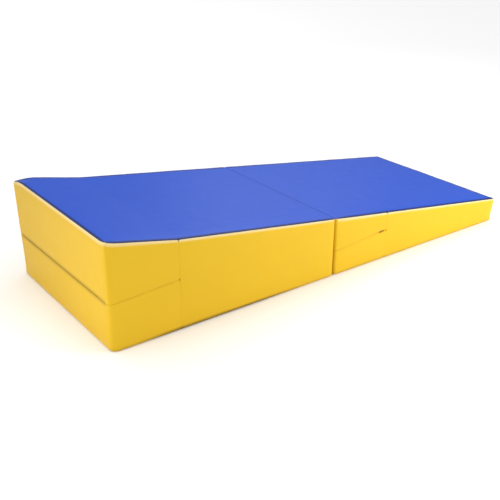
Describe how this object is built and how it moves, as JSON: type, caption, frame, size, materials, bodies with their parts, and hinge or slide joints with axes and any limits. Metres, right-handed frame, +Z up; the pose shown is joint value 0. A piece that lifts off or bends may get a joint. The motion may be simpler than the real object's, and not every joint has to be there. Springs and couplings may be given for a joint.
{
  "type": "folding incline wedge mat",
  "caption": "Long foam incline mat in a blue and yellow vinyl cover, made in two halves hinged along the top so that the thin half folds over onto the thick half.",
  "frame": {"origin": "on the floor at the middle of the opened mat, under the fold", "axes": "+X along the mat towards the thin nose, with the tall end at -X; +Y across the mat, with the near long side at -Y; +Z up"},
  "size_m": [1.8, 0.7052, 0.372],
  "materials": {
    "blue_vinyl": "satin",
    "yellow_vinyl": "satin",
    "foam": "matte",
    "zip_tape": "matte",
    "zip_coil": "satin",
    "zip_metal": "satin"
  },
  "bodies": {
    "thick_half": {"thick_top_panel": "blue_vinyl", "thick_base_panel": "yellow_vinyl", "thick_end_boxing_upper": "yellow_vinyl", "thick_end_boxing_lower": "yellow_vinyl", "thick_side_boxing": "yellow_vinyl", "thick_hinge_leaf": "blue_vinyl", "thick_foam_plank_1": "foam", "thick_foam_plank_2": "foam", "thick_foam_plank_3": "foam", "thick_foam_plank_4": "foam", "thick_foam_plank_5": "foam", "thick_foam_plank_6": "foam", "thick_foam_plank_7": "foam", "thick_foam_plank_8": "foam", "thick_zip_tape_upper": "zip_tape", "thick_zip_tape_lower": "zip_tape", "thick_zip_coil_upper": "zip_coil", "thick_zip_coil_lower": "zip_coil", "thick_zip_stop_near": "zip_metal", "thick_zip_stop_far": "zip_metal"},
    "thin_half": {"thin_top_panel": "blue_vinyl", "thin_base_panel": "yellow_vinyl", "thin_fold_boxing_upper": "yellow_vinyl", "thin_fold_boxing_lower": "yellow_vinyl", "thin_side_boxing": "yellow_vinyl", "thin_hinge_leaf": "blue_vinyl", "thin_foam_plank_1": "foam", "thin_foam_plank_2": "foam", "thin_foam_plank_3": "foam", "thin_foam_plank_4": "foam", "thin_foam_plank_5": "foam", "thin_zip_tape_upper": "zip_tape", "thin_zip_tape_lower": "zip_tape", "thin_zip_coil_upper": "zip_coil", "thin_zip_coil_lower": "zip_coil", "thin_zip_stop_near": "zip_metal", "thin_zip_stop_far": "zip_metal"},
    "thick_slider": {"thick_zip_slider": "zip_metal"},
    "thick_pull": {"thick_zip_pull": "zip_metal"},
    "thin_slider": {"thin_zip_slider": "zip_metal"},
    "thin_pull": {"thin_zip_pull": "zip_metal"}
  },
  "joints": [
    {"name": "fold_hinge", "type": "hinge", "parent": "thick_half", "child": "thin_half", "pos_m": [0, 0, 0.2263], "axis": [0, -1, 0], "range_deg": [0, 178.5]},
    {"name": "thick_zip_slide", "type": "slide", "parent": "thick_half", "child": "thick_slider", "axis": [-0.9983, 0, -0.0579], "range_m": [0, 0.2]},
    {"name": "thick_zip_pull", "type": "hinge", "parent": "thick_slider", "child": "thick_pull", "pos_m": [-0.6663, 0.3509, 0.17355], "axis": [0, 0, -1], "range_deg": [0, 175]},
    {"name": "thin_zip_slide", "type": "slide", "parent": "thin_half", "child": "thin_slider", "axis": [-0.997, 0, -0.0778], "range_m": [0, 0.21]},
    {"name": "thin_zip_pull", "type": "hinge", "parent": "thin_slider", "child": "thin_pull", "pos_m": [0.2417, -0.3509, 0.11785], "axis": [0, 0, 1], "range_deg": [0, 175]}
  ]
}
